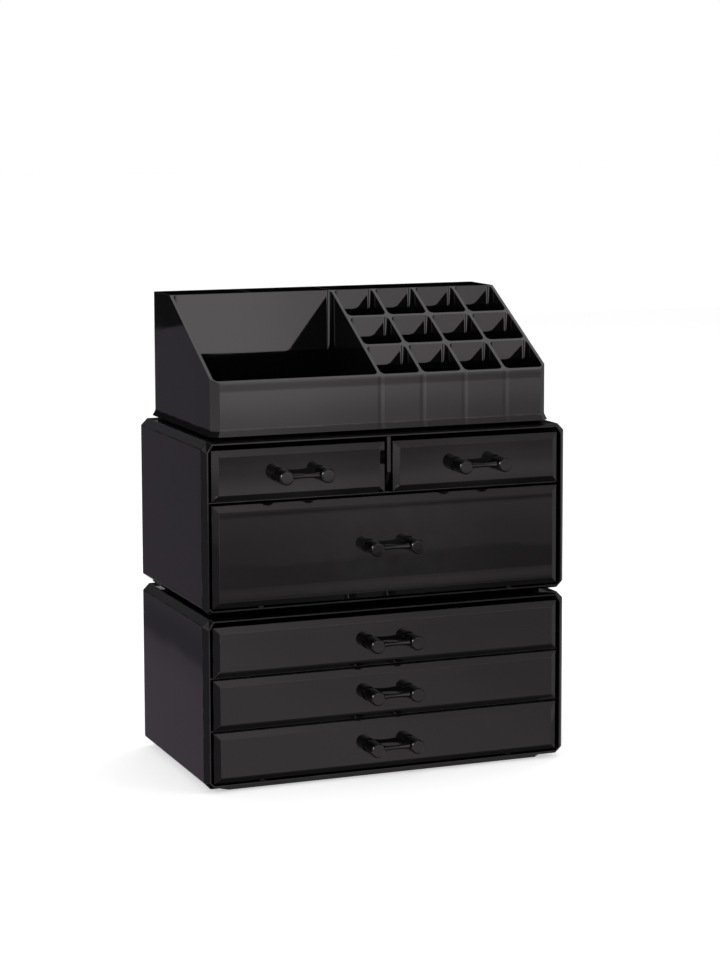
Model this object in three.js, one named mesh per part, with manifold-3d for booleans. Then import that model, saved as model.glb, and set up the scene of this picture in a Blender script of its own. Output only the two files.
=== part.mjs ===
// Stacking makeup organizer: a case with three drawers, a case with two small drawers over a deep one,
// and an open tray with a sloped grid of lipstick cells on top. Millimetres, +Z up.
// The front faces -Y. The origin is on the table, under the middle of the whole object.
import * as THREE from "three";
import { mergeVertices } from "three/addons/utils/BufferGeometryUtils.js";
import Module from "manifold-3d";

const wasm = await Module();
wasm.setup();

// Clearances and the overrun of every cut
const overrun = 1;
const stackGap = 0.1;
const slotGap = 0.1;
const slideGap = 0.3;
const screwGap = 0.2;

// Case, the same moulding for both drawer modules
const caseWidth = 240;
const caseDepth = 126.3;
const caseHeight = 105;
const caseBackWall = 2.4;
const caseEdgeChamfer = 4.2;
const caseBackChamfer = 1.5;

// Bevelled front rim of a case, which runs forward to a thin lip
const rimDepth = 3.5;
const rimSideInset = 2.8;
const rimTopInset = 1.2;
const rimBottomInset = 1.8;
const rimLip = 0.8;
const rimTopCornerWidth = 3.3;
const rimTopCornerHeight = 5;
const rimBottomCorner = 2.6;

// Foot rim under a case, and the ribs that its lowest drawer runs on
const footHeight = 2.4;
const footSideInset = 13;
const footEndInset = 3.2;
const footRimWidth = 3;
const footChamfer = 4;
const floorRibWidth = 3;
const floorRibSideInset = 34;

// Drawer fronts in the opening of a case
const rowCount = 3;
const frontSideClearance = 2;
const frontTopClearance = 3.1;
const frontBottomClearance = 0.9;
const frontRowGap = 1.4;
const smallFrontHeight = 31.4;
const smallFrontGap = 2.1;

// Shelves, whose tops lie a little above the bottom edges of the fronts they carry
const shelfThickness = 2;
const shelfRise = 0.3;
const shelfGroove = 1.2;
const shelfSetBack = 0.5;

// Upright divider between the small drawers
const dividerThickness = 2.6;
const dividerClearance = 1.3;
const dividerGroove = 0.8;
const dividerSetBack = 0.3;
const dividerCornerHeight = 12;
const dividerCornerDepth = 6;

// Drawer
const panelRecess = 0.9;
const panelEdge = 2;
const panelBevelWidth = 4;
const panelBevelDepth = 2;
const panelWall = 2;
const panelLedge = 1;
const drawerWall = 2;
const drawerFloor = 2;
const drawerBackClearance = 3;
const drawerSideInset = 0.8;
const drawerTopInset = 1.8;
const drawerCornerRadius = 4;

// Handle: two round knobs joined by a waisted bar
const knobSpacing = 26.4;
const knobRadius = 4.5;
const knobNeckRadius = 3.8;
const knobNeckLength = 2.4;
const knobShoulder = 0.6;
const knobLength = 13.9;
const knobEdgeChamfer = 0.8;
const knobBoreDepth = 10;
const barStandOff = 8.5;
const barEndRadius = 2.9;
const barWaistRadius = 1.25;
const shallowHandleDrop = 1.1;
const wideHandleRise = 0.9;

// Handle screw, through the drawer front from inside
const screwRadius = 1.3;
const screwLength = 10;
const screwPoint = 1.2;
const screwHeadRadius = 2.8;
const screwHeadHeight = 2;

// Tray
const trayWidth = 222;
const trayDepth = 119;
const trayFrontInset = 4.65;
const trayHeight = 81.3;
const trayFrontHeight = 34.1;
const trayWall = 2;
const trayFloor = 2.2;
const trayFrontChamfer = 4.8;
const trayBackChamfer = 1.5;
const trayFootHeight = 1.7;
const trayFootInset = 0.5;
const traySkirtHeight = 3.7;
const traySkirtFlare = 1.5;
const cellPitch = 28;
const cellCornerRadius = 3;
const cellColumns = 4;
const cellRows = 3;
const leftCompartments = 2;

// Facets of round shapes
const knobFacets = 24;
const screwFacets = 12;
const cornerFacets = 3;
const barFacets = 16;
const waistFacets = 8;

// Depths that follow from the sizes
const frontReach = rimDepth - panelRecess + panelBevelDepth + knobLength;
const overallDepth = caseDepth + frontReach;
const backY = overallDepth / 2;
const sideFrontY = backY - caseDepth;
const rimY = sideFrontY - rimDepth;
const panelEdgeY = rimY + panelRecess;
const panelBackY = panelEdgeY + panelEdge;
const panelFaceY = panelEdgeY - panelBevelDepth;
const shelfFrontY = panelBackY + shelfSetBack;
const cavityBackY = backY - caseBackWall;

// Widths and heights that follow from the sizes
const caseHalfWidth = caseWidth / 2;
const caseTopZ = footHeight + caseHeight;
const caseStep = caseTopZ + stackGap;
const cavityHalfWidth = caseHalfWidth - rimSideInset - rimLip;
const cavityBottomZ = footHeight + rimBottomInset + rimLip;
const cavityTopZ = caseTopZ - rimTopInset - rimLip;
const frontHalfWidth = cavityHalfWidth - frontSideClearance;
const frontsBottomZ = cavityBottomZ + frontBottomClearance;
const frontsTopZ = cavityTopZ - frontTopClearance;

// Row of drawers, from the bottom edge to the top edge of its front, and the height of its handles,
// which stand a little off the middle
function rowBetween(low, high, handleOffset) {
  return { low, high, handleZ: (low + high) / 2 + handleOffset };
}
const rowStep = (frontsTopZ - frontsBottomZ + frontRowGap) / rowCount;
const lowerRows = Array.from({ length: rowCount }, (_, i) => {
  const low = frontsBottomZ + i * rowStep;
  return rowBetween(low, low + rowStep - frontRowGap, -shallowHandleDrop);
});
const smallRow = rowBetween(frontsTopZ - smallFrontHeight, frontsTopZ, -shallowHandleDrop);
const wideRow = rowBetween(frontsBottomZ, smallRow.low - smallFrontGap, wideHandleRise);

// Finishes
const caseFinish = { color: 0x141315, roughness: 0.16, metalness: 0 };
const drawerFinish = { color: 0x161516, roughness: 0.14, metalness: 0 };
const handleFinish = { color: 0x0d0d0e, roughness: 0.12, metalness: 0 };
const trayFinish = { color: 0x1a1918, roughness: 0.2, metalness: 0 };
const screwFinish = { color: 0xb9bbbe, roughness: 0.35, metalness: 1 };

// Closed mesh to solid
function solidOf(geometry) {
  const bare = geometry.clone();
  bare.deleteAttribute("normal");
  bare.deleteAttribute("uv");
  const merged = mergeVertices(bare);
  return new wasm.Manifold(
    new wasm.Mesh({
      numProp: 3,
      vertProperties: new Float32Array(merged.attributes.position.array),
      triVerts: new Uint32Array(merged.index.array),
    }),
  );
}

// Solid to a named, flat-shaded mesh
function meshOf(name, solid, finish) {
  const { vertProperties, numProp, triVerts } = solid.getMesh();
  const geometry = new THREE.BufferGeometry();
  geometry.setAttribute("position", new THREE.BufferAttribute(vertProperties, numProp));
  geometry.setIndex(new THREE.BufferAttribute(triVerts, 1));
  const flat = geometry.toNonIndexed();
  flat.computeVertexNormals();
  const mesh = new THREE.Mesh(flat, new THREE.MeshStandardMaterial(finish));
  mesh.name = name;
  return mesh;
}

function cut(solid, ...tools) {
  return tools.flat().reduce((left, tool) => left.subtract(tool), solid);
}

function join(first, ...others) {
  return others.flat().reduce((sum, piece) => sum.add(piece), first);
}

// A block between two corners
function block(x0, x1, y0, y1, z0, z1) {
  const geometry = new THREE.BoxGeometry(x1 - x0, y1 - y0, z1 - z0);
  geometry.translate((x0 + x1) / 2, (y0 + y1) / 2, (z0 + z1) / 2);
  return solidOf(geometry);
}

// A plan outline, drawn in x and y, raised from z0 to z1
function raise(shape, z0, z1) {
  const geometry = new THREE.ExtrudeGeometry(shape, {
    depth: z1 - z0,
    bevelEnabled: false,
    curveSegments: cornerFacets,
  });
  geometry.translate(0, 0, z0);
  return solidOf(geometry);
}

// A side profile, drawn in y and z, swept across from x0 to x1
function sweepAcross(profile, x0, x1) {
  const points = profile.map(([y, z]) => new THREE.Vector2(y, z));
  const geometry = new THREE.ExtrudeGeometry(new THREE.Shape(points), {
    depth: x1 - x0,
    bevelEnabled: false,
  });
  const axes = new THREE.Matrix4().makeBasis(
    new THREE.Vector3(0, 1, 0),
    new THREE.Vector3(0, 0, 1),
    new THREE.Vector3(1, 0, 0),
  );
  geometry.applyMatrix4(axes);
  geometry.translate(x0, 0, 0);
  return solidOf(geometry);
}

function cylinderAlongY(radius, y0, y1, facets) {
  const geometry = new THREE.CylinderGeometry(radius, radius, y1 - y0, facets);
  geometry.translate(0, (y0 + y1) / 2, 0);
  return solidOf(geometry);
}

// A profile of radius and distance, turned about an axis that runs forward from a plane at y
function turnForward(profile, y, facets) {
  const points = profile.map(([radius, along]) => new THREE.Vector2(radius, along));
  const geometry = new THREE.LatheGeometry(points, facets);
  geometry.rotateX(Math.PI);
  geometry.translate(0, y, 0);
  return solidOf(geometry);
}

// A rectangle in plan with rounded corners
function roundedPlan(x0, x1, y0, y1, radius) {
  const shape = new THREE.Shape();
  shape.moveTo(x0 + radius, y0);
  shape.lineTo(x1 - radius, y0);
  shape.absarc(x1 - radius, y0 + radius, radius, -Math.PI / 2, 0, false);
  shape.lineTo(x1, y1 - radius);
  shape.absarc(x1 - radius, y1 - radius, radius, 0, Math.PI / 2, false);
  shape.lineTo(x0 + radius, y1);
  shape.absarc(x0 + radius, y1 - radius, radius, Math.PI / 2, Math.PI, false);
  shape.lineTo(x0, y0 + radius);
  shape.absarc(x0 + radius, y0 + radius, radius, Math.PI, 1.5 * Math.PI, false);
  return shape;
}

// A rectangle in plan with its corners cut at 45 degrees, by one size in front and another at the back
function chamferedPlan(x0, x1, y0, y1, front, back) {
  return [
    [x0 + front, y0],
    [x1 - front, y0],
    [x1, y0 + front],
    [x1, y1 - back],
    [x1 - back, y1],
    [x0 + back, y1],
    [x0, y1 - back],
    [x0, y0 + front],
  ].map(([x, y]) => new THREE.Vector2(x, y));
}

// A closed rim that stands down from a flat underside, as a foot
function footRim(x0, x1, y0, y1, width, chamfer, z1) {
  const outer = new THREE.Shape(chamferedPlan(x0, x1, y0, y1, chamfer, chamfer));
  const inner = chamferedPlan(x0 + width, x1 - width, y0 + width, y1 - width, chamfer, chamfer);
  outer.holes.push(new THREE.Path(inner));
  return raise(outer, 0, z1);
}

// A skin through outlines of equal point counts, closed at both ends.
// Each outline runs anticlockwise when seen from the end that the outlines move towards.
function skin(outlines) {
  const count = outlines[0].length;
  const last = (outlines.length - 1) * count;
  const index = [];
  for (let ring = 0; ring < last; ring += count) {
    for (let i = 0; i < count; i += 1) {
      const a = ring + i;
      const b = ring + ((i + 1) % count);
      index.push(a, b, b + count, a, b + count, a + count);
    }
  }
  for (let i = 1; i < count - 1; i += 1) {
    index.push(0, i + 1, i, last, last + i, last + i + 1);
  }
  const position = outlines.flat().flatMap((point) => point.toArray());
  const geometry = new THREE.BufferGeometry();
  geometry.setAttribute("position", new THREE.Float32BufferAttribute(position, 3));
  geometry.setIndex(index);
  return solidOf(geometry);
}

// The outline of a case at one depth, drawn in from its full size, anticlockwise seen from the front
function caseSection(y, sideInset, bottomInset, topInset, topCornerWidth, topCornerHeight, bottomCorner) {
  const half = caseHalfWidth - sideInset;
  const low = footHeight + bottomInset;
  const high = caseTopZ - topInset;
  return [
    [-half + bottomCorner, low],
    [half - bottomCorner, low],
    [half, low + bottomCorner],
    [half, high - topCornerHeight],
    [half - topCornerWidth, high],
    [-half + topCornerWidth, high],
    [-half, high - topCornerHeight],
    [-half, low + bottomCorner],
  ].map(([x, z]) => new THREE.Vector3(x, y, z));
}

// Case moulding: a sleeve with a back wall, a bevelled front rim, a foot rim and two floor ribs.
// Its side walls have a groove for each shelf, and its roof may have one for a divider.
function caseShell(shelfRows, hasDivider) {
  const corner = caseEdgeChamfer;
  const backInset = caseBackChamfer;
  const backCorner = corner - backInset / 2;
  const body = skin([
    caseSection(backY, backInset, backInset, backInset, backCorner, backCorner, backCorner),
    caseSection(backY - caseBackChamfer, 0, 0, 0, corner, corner, corner),
    caseSection(sideFrontY, 0, 0, 0, corner, corner, corner),
    caseSection(
      rimY,
      rimSideInset,
      rimBottomInset,
      rimTopInset,
      rimTopCornerWidth,
      rimTopCornerHeight,
      rimBottomCorner,
    ),
  ]);
  // A corner cut at 45 degrees gets this much smaller where the lip sets its outline inwards
  const lipCorner = rimLip * (2 - Math.SQRT2);
  const hollow = [cavityBackY, rimY - overrun].map((y) =>
    caseSection(
      y,
      rimSideInset + rimLip,
      rimBottomInset + rimLip,
      rimTopInset + rimLip,
      rimTopCornerWidth - lipCorner,
      rimTopCornerHeight - lipCorner,
      rimBottomCorner - lipCorner,
    ),
  );
  const grooveHalf = cavityHalfWidth + shelfGroove;
  const grooves = shelfRows.map((row) => {
    const top = row.low + shelfRise;
    return block(
      -grooveHalf,
      grooveHalf,
      shelfFrontY,
      cavityBackY,
      top - shelfThickness - slotGap,
      top + slotGap,
    );
  });
  if (hasDivider) {
    const half = dividerThickness / 2 + slotGap;
    grooves.push(block(-half, half, shelfFrontY, cavityBackY, cavityTopZ, cavityTopZ + dividerGroove));
  }
  const foot = footRim(
    -caseHalfWidth + footSideInset,
    caseHalfWidth - footSideInset,
    sideFrontY + footEndInset,
    backY - footEndInset,
    footRimWidth,
    footChamfer,
    footHeight + rimBottomInset,
  );
  const ribMiddle = cavityHalfWidth - floorRibSideInset;
  const ribs = [-ribMiddle, ribMiddle].map((x) =>
    block(
      x - floorRibWidth / 2,
      x + floorRibWidth / 2,
      shelfFrontY,
      cavityBackY + caseBackWall / 2,
      cavityBottomZ - rimLip,
      frontsBottomZ + shelfRise,
    ),
  );
  return join(cut(body, skin(hollow), grooves), foot, ribs);
}

// Shelf in the side grooves of a case, under the drawers of one row
function shelf(row) {
  const half = cavityHalfWidth + shelfGroove - slotGap;
  const top = row.low + shelfRise;
  return block(-half, half, shelfFrontY, cavityBackY - slotGap, top - shelfThickness, top);
}

// Upright divider that stands on a shelf, with a tongue in the roof and its lower front corner cut away
function divider(row) {
  const low = row.low + shelfRise + slotGap;
  const roof = cavityTopZ - slotGap;
  const frontY = rimY + dividerSetBack;
  const tongueY = shelfFrontY + slotGap;
  const rearY = cavityBackY - slotGap;
  const profile = [
    [frontY + dividerCornerDepth, low],
    [rearY, low],
    [rearY, roof + dividerGroove],
    [tongueY, roof + dividerGroove],
    [tongueY, roof],
    [frontY, roof],
    [frontY, low + dividerCornerHeight],
  ];
  return sweepAcross(profile, -dividerThickness / 2, dividerThickness / 2);
}

// Where the knobs stand on a drawer front between x0 and x1
function knobPlaces(x0, x1) {
  const middle = (x0 + x1) / 2;
  return [middle - knobSpacing / 2, middle + knobSpacing / 2];
}

// Drawer moulding: an open box behind a larger front panel, whose face is raised within a wide bevel
function drawer(x0, x1, row) {
  const face = (y, inset) =>
    [
      [x0 + inset, row.low + inset],
      [x1 - inset, row.low + inset],
      [x1 - inset, row.high - inset],
      [x0 + inset, row.high - inset],
    ].map(([x, z]) => new THREE.Vector3(x, y, z));
  const panel = skin([face(panelBackY, 0), face(panelEdgeY, 0), face(panelFaceY, panelBevelWidth)]);

  const boxX0 = x0 + drawerSideInset;
  const boxX1 = x1 - drawerSideInset;
  const boxLow = row.low + shelfRise + slideGap;
  const boxHigh = row.high - drawerTopInset;
  const boxBackY = cavityBackY - drawerBackClearance;
  const boxPlan = roundedPlan(boxX0, boxX1, panelFaceY - drawerCornerRadius, boxBackY, drawerCornerRadius);
  const insidePlan = roundedPlan(
    boxX0 + drawerWall,
    boxX1 - drawerWall,
    panelBackY,
    boxBackY - drawerWall,
    drawerCornerRadius - drawerWall,
  );
  const behindPanel = block(boxX0, boxX1, panelBackY - panelEdge / 2, boxBackY, boxLow, boxHigh);
  const box = raise(boxPlan, boxLow, boxHigh).intersect(behindPanel);
  const inside = raise(insidePlan, boxLow + drawerFloor, boxHigh + overrun);

  const pocketInset = panelBevelWidth + panelLedge;
  const pocket = block(
    x0 + pocketInset,
    x1 - pocketInset,
    panelFaceY + panelWall,
    panelBackY + overrun,
    row.low + pocketInset,
    row.high - pocketInset,
  );
  const hole = cylinderAlongY(screwRadius + screwGap, panelFaceY - overrun, panelBackY, screwFacets);
  const holes = knobPlaces(x0, x1).map((x) => hole.translate(x, 0, row.handleZ));
  return cut(join(panel, cut(box, inside)), pocket, holes);
}

// Handle: two knobs on necks, and a round bar between them that is drawn in at its middle.
// A blind bore in each knob takes a screw.
function handle(x0, x1, row) {
  const reach = knobSpacing / 2;
  const waistProfile = Array.from({ length: waistFacets + 1 }, (_, i) => {
    const along = (2 * i) / waistFacets - 1;
    return [barWaistRadius + (barEndRadius - barWaistRadius) * along ** 2, (1 + along) * reach];
  });
  const barProfile = [[0, 0], ...waistProfile, [0, 2 * reach]];
  const bar = turnForward(barProfile, 0, barFacets)
    .rotate(0, 0, 90)
    .translate(-reach, panelFaceY - barStandOff, 0);

  const knobProfile = [
    [0, 0],
    [knobNeckRadius, 0],
    [knobNeckRadius, knobNeckLength - knobShoulder],
    [knobRadius, knobNeckLength],
    [knobRadius, knobLength - knobEdgeChamfer],
    [knobRadius - knobEdgeChamfer, knobLength],
    [0, knobLength],
  ];
  const knob = turnForward(knobProfile, panelFaceY, knobFacets);
  const bore = cylinderAlongY(
    screwRadius + screwGap,
    panelFaceY - knobBoreDepth,
    panelFaceY + overrun,
    screwFacets,
  );
  const knobs = [-reach, reach].map((x) => knob.translate(x, 0, 0));
  const bores = [-reach, reach].map((x) => bore.translate(x, 0, 0));
  const moulding = cut(join(bar, knobs), bores);
  return moulding.translate((x0 + x1) / 2, 0, row.handleZ);
}

// Screw with a domed head on the inner side of a drawer front
function screw(x, row) {
  const profile = [
    [0, -screwHeadHeight],
    [screwHeadRadius / 2, -screwHeadHeight],
    [screwHeadRadius, -screwHeadHeight / 2],
    [screwHeadRadius, 0],
    [screwRadius, 0],
    [screwRadius, screwLength - screwPoint],
    [screwRadius / 2, screwLength],
    [0, screwLength],
  ];
  const seatY = panelFaceY + panelWall;
  return turnForward(profile, seatY, screwFacets).translate(x, 0, row.handleZ);
}

// A drawer with its handle and screws, as a group of meshes
function drawerSet(name, x0, x1, row) {
  const [leftX, rightX] = knobPlaces(x0, x1);
  const group = new THREE.Group();
  group.add(
    meshOf(name, drawer(x0, x1, row), drawerFinish),
    meshOf(name + "_handle", handle(x0, x1, row), handleFinish),
    meshOf(name + "_screw_left", screw(leftX, row), screwFinish),
    meshOf(name + "_screw_right", screw(rightX, row), screwFinish),
  );
  return group;
}

// Tray moulding, with its foot at z = 0: sloped sides, a flared skirt, and wells for what stands in it.
// The floor of each row of cells is one step higher than that of the row in front, as the slope rises.
function tray() {
  const half = trayWidth / 2;
  const frontY = sideFrontY + trayFrontInset;
  const rearY = frontY + trayDepth;
  const partitionY = frontY + cellRows * cellPitch;
  const gridX = half - trayWall - cellColumns * cellPitch;
  const rise = (trayHeight - trayFrontHeight) / (cellRows * cellPitch);
  const baseZ = trayFootHeight + trayFloor;
  const floorZ = (row) => baseZ + row * rise * cellPitch;
  const rowFrontY = (row) => frontY + trayWall + row * cellPitch;
  const innerRearY = rearY - trayWall;

  const plan = (grow) =>
    chamferedPlan(
      -half - grow,
      half + grow,
      frontY - grow,
      rearY + grow,
      trayFrontChamfer,
      trayBackChamfer,
    );
  const sideProfile = [
    [frontY - overrun, 0],
    [rearY + overrun, 0],
    [rearY + overrun, trayHeight],
    [partitionY, trayHeight],
    [frontY, trayFrontHeight],
    [frontY - overrun, trayFrontHeight - rise * overrun],
  ];
  const slope = sweepAcross(sideProfile, -half - overrun, half + overrun);
  const walls = raise(new THREE.Shape(plan(0)), trayFootHeight, trayHeight).intersect(slope);
  const skirtRings = [
    [traySkirtFlare, trayFootHeight],
    [0, trayFootHeight + traySkirtHeight],
  ];
  const skirt = skin(
    skirtRings.map(([grow, z]) => plan(grow).map(({ x, y }) => new THREE.Vector3(x, y, z))),
  );
  const foot = footRim(
    -half + trayFootInset,
    half - trayFootInset,
    frontY + trayFootInset,
    rearY - trayFootInset,
    trayWall - trayFootInset,
    trayFrontChamfer,
    baseZ,
  );

  const well = (x0, x1, y0, y1, floor) =>
    raise(roundedPlan(x0, x1, y0, y1, cellCornerRadius), floor, trayHeight + overrun);
  const wells = [
    well(-half + trayWall, gridX, rowFrontY(0), partitionY, baseZ),
    well(gridX + trayWall, half - trayWall, rowFrontY(cellRows), innerRearY, floorZ(cellRows)),
  ];
  for (let row = 0; row < cellRows; row += 1) {
    for (let column = 0; column < cellColumns; column += 1) {
      const x0 = gridX + trayWall + column * cellPitch;
      const y0 = rowFrontY(row);
      wells.push(well(x0, x0 + cellPitch - trayWall, y0, y0 + cellPitch - trayWall, floorZ(row)));
    }
  }
  const leftStep = (gridX + half) / leftCompartments;
  for (let i = 0; i < leftCompartments; i += 1) {
    const x0 = -half + trayWall + i * leftStep;
    wells.push(well(x0, x0 + leftStep - trayWall, rowFrontY(cellRows), innerRearY, baseZ));
  }

  // The hollow underside follows the steps of the floors
  const steps = [[rowFrontY(1), -overrun]];
  for (let row = 1; row <= cellRows; row += 1) {
    const ceiling = floorZ(row) - trayFloor;
    steps.push([rowFrontY(row), ceiling], [row < cellRows ? rowFrontY(row + 1) : innerRearY, ceiling]);
  }
  steps.push([innerRearY, -overrun]);
  const underside = sweepAcross(steps.reverse(), gridX + trayWall, half - trayWall);
  return cut(join(walls, skirt, foot), wells, underside);
}

// Assembly
const lowerCase = new THREE.Group();
const carriedRows = lowerRows.slice(1);
lowerCase.add(meshOf("lower_case_shell", caseShell(carriedRows, false), caseFinish));
carriedRows.forEach((row, i) => {
  lowerCase.add(meshOf("lower_case_shelf_" + (i + 1), shelf(row), caseFinish));
});
lowerRows.forEach((row, i) => {
  lowerCase.add(drawerSet("lower_drawer_" + (i + 1), -frontHalfWidth, frontHalfWidth, row));
});

const smallFrontX = dividerThickness / 2 + dividerClearance;
const upperCase = new THREE.Group();
upperCase.add(
  meshOf("upper_case_shell", caseShell([smallRow], true), caseFinish),
  meshOf("upper_case_shelf", shelf(smallRow), caseFinish),
  meshOf("upper_case_divider", divider(smallRow), caseFinish),
  drawerSet("upper_drawer_wide", -frontHalfWidth, frontHalfWidth, wideRow),
  drawerSet("upper_drawer_left", -frontHalfWidth, -smallFrontX, smallRow),
  drawerSet("upper_drawer_right", smallFrontX, frontHalfWidth, smallRow),
);
upperCase.position.z = caseStep;

const topTray = meshOf("top_tray", tray(), trayFinish);
topTray.position.z = 2 * caseStep;

const organizer = new THREE.Group();
organizer.add(lowerCase, upperCase, topTray);

export default organizer;
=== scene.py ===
"""Dresses the stacking makeup organizer: glossy black mouldings, turned handles, screws and a pale studio."""

import logging
import math
from collections.abc import Callable, Iterable
from dataclasses import dataclass, field
from enum import Enum
from functools import cached_property

import bmesh
import bpy
from mathutils import Matrix, Vector


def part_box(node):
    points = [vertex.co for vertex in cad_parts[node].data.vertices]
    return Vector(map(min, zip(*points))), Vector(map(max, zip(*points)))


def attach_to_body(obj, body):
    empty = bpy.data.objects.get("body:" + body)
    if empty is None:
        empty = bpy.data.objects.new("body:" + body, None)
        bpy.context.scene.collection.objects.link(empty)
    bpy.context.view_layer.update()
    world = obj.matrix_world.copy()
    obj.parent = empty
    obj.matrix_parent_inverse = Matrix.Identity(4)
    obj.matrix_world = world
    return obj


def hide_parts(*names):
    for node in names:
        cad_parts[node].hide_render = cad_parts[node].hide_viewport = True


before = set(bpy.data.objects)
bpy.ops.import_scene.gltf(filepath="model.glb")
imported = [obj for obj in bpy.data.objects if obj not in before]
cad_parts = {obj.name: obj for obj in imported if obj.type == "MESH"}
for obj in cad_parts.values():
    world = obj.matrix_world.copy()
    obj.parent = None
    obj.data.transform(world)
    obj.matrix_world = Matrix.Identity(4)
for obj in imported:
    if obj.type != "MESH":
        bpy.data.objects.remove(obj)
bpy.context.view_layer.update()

MM = 0.001
EDGE_ATTRIBUTE = "edge"

log = logging.getLogger("organizer")

Socket = bpy.types.NodeSocket
Piece = bpy.types.Object
Shape = bmesh.types.BMesh
Edge = bmesh.types.BMEdge
Pair = tuple[float, float]
Triple = tuple[float, float, float]
Stops = tuple[Pair, ...]
Feed = float | tuple | Socket
Feeds = dict[str | int, Feed]
Choice = Callable[[Vector], bool]
Roundings = list[tuple[float, float, Choice]]


class Slot(Enum):
    """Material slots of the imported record."""

    CASE = "case"
    DRAWER = "drawer"
    HANDLE = "handle"
    TRAY = "tray"
    SCREW = "screw"


class Body(Enum):
    """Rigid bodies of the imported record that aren't drawers."""

    LOWER_CASE = "lower_case"
    UPPER_CASE = "upper_case"
    TRAY = "top_tray"


# Shader node trees

MIX_FACTOR, MIX_FIRST, MIX_SECOND, MIX_RESULT = 0, 6, 7, 2


class Graph:
    """A shader node tree with short calls that add nodes and join them."""

    def __init__(self, tree: bpy.types.NodeTree) -> None:
        """Wraps the tree that the nodes are added to."""
        self.tree = tree

    @cached_property
    def place(self) -> Socket:
        """Adds the Object coordinates once and returns their socket."""
        return self.add("TexCoord").outputs["Object"]

    @cached_property
    def parts(self) -> bpy.types.bpy_prop_collection:
        """Splits the Object coordinates once and returns the sockets X, Y and Z."""
        return self.add("SeparateXYZ", {"Vector": self.place}).outputs

    def plug(self, socket: Socket, value: Feed) -> None:
        """Links a socket to another one, or sets its plain value.

        Args:
            socket: the input to feed.
            value: an output socket, a number or a tuple. A colour is a tuple of three.
        """
        if isinstance(value, Socket):
            self.tree.links.new(value, socket)
        elif socket.type == "RGBA":
            socket.default_value = (*value, 1.0)
        else:
            socket.default_value = value

    def add(self, kind: str, feeds: Feeds | None = None, **settings: object) -> bpy.types.Node:
        """Adds a node.

        Args:
            kind: the node's type name without its ShaderNode prefix.
            feeds: values or sockets by the input's name or number.
            **settings: properties of the node.

        Returns:
            The new node.
        """
        node = self.tree.nodes.new("ShaderNode" + kind)
        for name, value in settings.items():
            setattr(node, name, value)
        for name, value in (feeds or {}).items():
            self.plug(node.inputs[name], value)
        return node

    def math(self, operation: str, *values: Feed, clamp: bool = False) -> Socket:
        """Works out an operation on values, kept between 0 and 1 where it is clamped."""
        return self.add("Math", dict(enumerate(values)), operation=operation, use_clamp=clamp).outputs[0]

    def ease(self, value: Feed, low: float, high: float, start: float = 0.0, end: float = 1.0) -> Socket:
        """Maps a value smoothly from the range low to high onto the range start to end."""
        feeds = {"Value": value, "From Min": low, "From Max": high, "To Min": start, "To Max": end}
        return self.add("MapRange", feeds, interpolation_type="SMOOTHSTEP").outputs["Result"]

    def blend(self, factor: Feed, first: Feed, second: Feed) -> Socket:
        """Mixes two colours: a factor of 0 gives the first, a factor of 1 the second."""
        feeds = {MIX_FACTOR: factor, MIX_FIRST: first, MIX_SECOND: second}
        return self.add("Mix", feeds, data_type="RGBA").outputs[MIX_RESULT]

    def noise(self, scale: float, detail: float = 2.0, place: Socket | None = None) -> Socket:
        """Adds noise of so many features per metre and octaves, on Object coordinates or another place."""
        feeds = {"Vector": place or self.place, "Scale": scale, "Detail": detail}
        return self.add("TexNoise", feeds).outputs[0]


class Effect:
    """A shader node group that is built once and placed in each material that uses it."""

    title: str = ""
    inputs: tuple[str, ...] = ()
    outputs: tuple[str, ...] = ()

    def group(self) -> bpy.types.NodeTree:
        """Builds the group on its first use.

        Returns:
            The group's node tree.
        """
        tree = bpy.data.node_groups.get(self.title)
        if tree:
            return tree
        tree = bpy.data.node_groups.new(self.title, "ShaderNodeTree")
        for names, way in ((self.inputs, "INPUT"), (self.outputs, "OUTPUT")):
            for name in names:
                tree.interface.new_socket(name=name, in_out=way, socket_type="NodeSocketFloat")
        graph = Graph(tree)
        taken = tree.nodes.new("NodeGroupInput")
        given = tree.nodes.new("NodeGroupOutput")
        results = self.draw(graph, {name: taken.outputs[name] for name in self.inputs})
        for name, result in zip(self.outputs, results, strict=True):
            graph.plug(given.inputs[name], result)
        return tree

    def draw(self, graph: Graph, taken: dict[str, Socket]) -> tuple[Socket, ...]:
        """Draws the nodes between the group's inputs and its outputs, which it returns in order."""
        raise NotImplementedError

    def place(self, graph: Graph, values: dict[str, float]) -> dict[str, Socket]:
        """Places the group in a material, with values for its inputs, and returns its outputs by name."""
        node = graph.add("Group", values, node_tree=self.group())
        return {name: node.outputs[name] for name in self.outputs}


class MouldedSkin(Effect):
    """The skin of a glossy moulding: fine orange peel, the slow waves of a large face, and uneven gloss."""

    title = "Moulded skin"
    inputs = ("Peel Height", "Wave Height")
    outputs = ("Height", "Gloss", "Shade")

    def draw(self, graph: Graph, taken: dict[str, Socket]) -> tuple[Socket, ...]:
        """Draws the peel, the waves and the two slow variations.

        Args:
            graph: the group's tree.
            taken: the group's inputs by name.

        Returns:
            The height, the share of haze and the share of the pale colour.
        """
        peel = graph.math("MULTIPLY", graph.noise(scale=900.0), taken["Peel Height"])
        wave = graph.math("MULTIPLY", graph.noise(scale=14.0, detail=1.0), taken["Wave Height"])
        gloss = graph.ease(graph.noise(scale=34.0, detail=4.0), low=0.35, high=0.7)
        shade = graph.ease(graph.noise(scale=9.0, detail=3.0), low=0.3, high=0.7)
        return graph.math("ADD", peel, wave), gloss, shade


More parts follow.
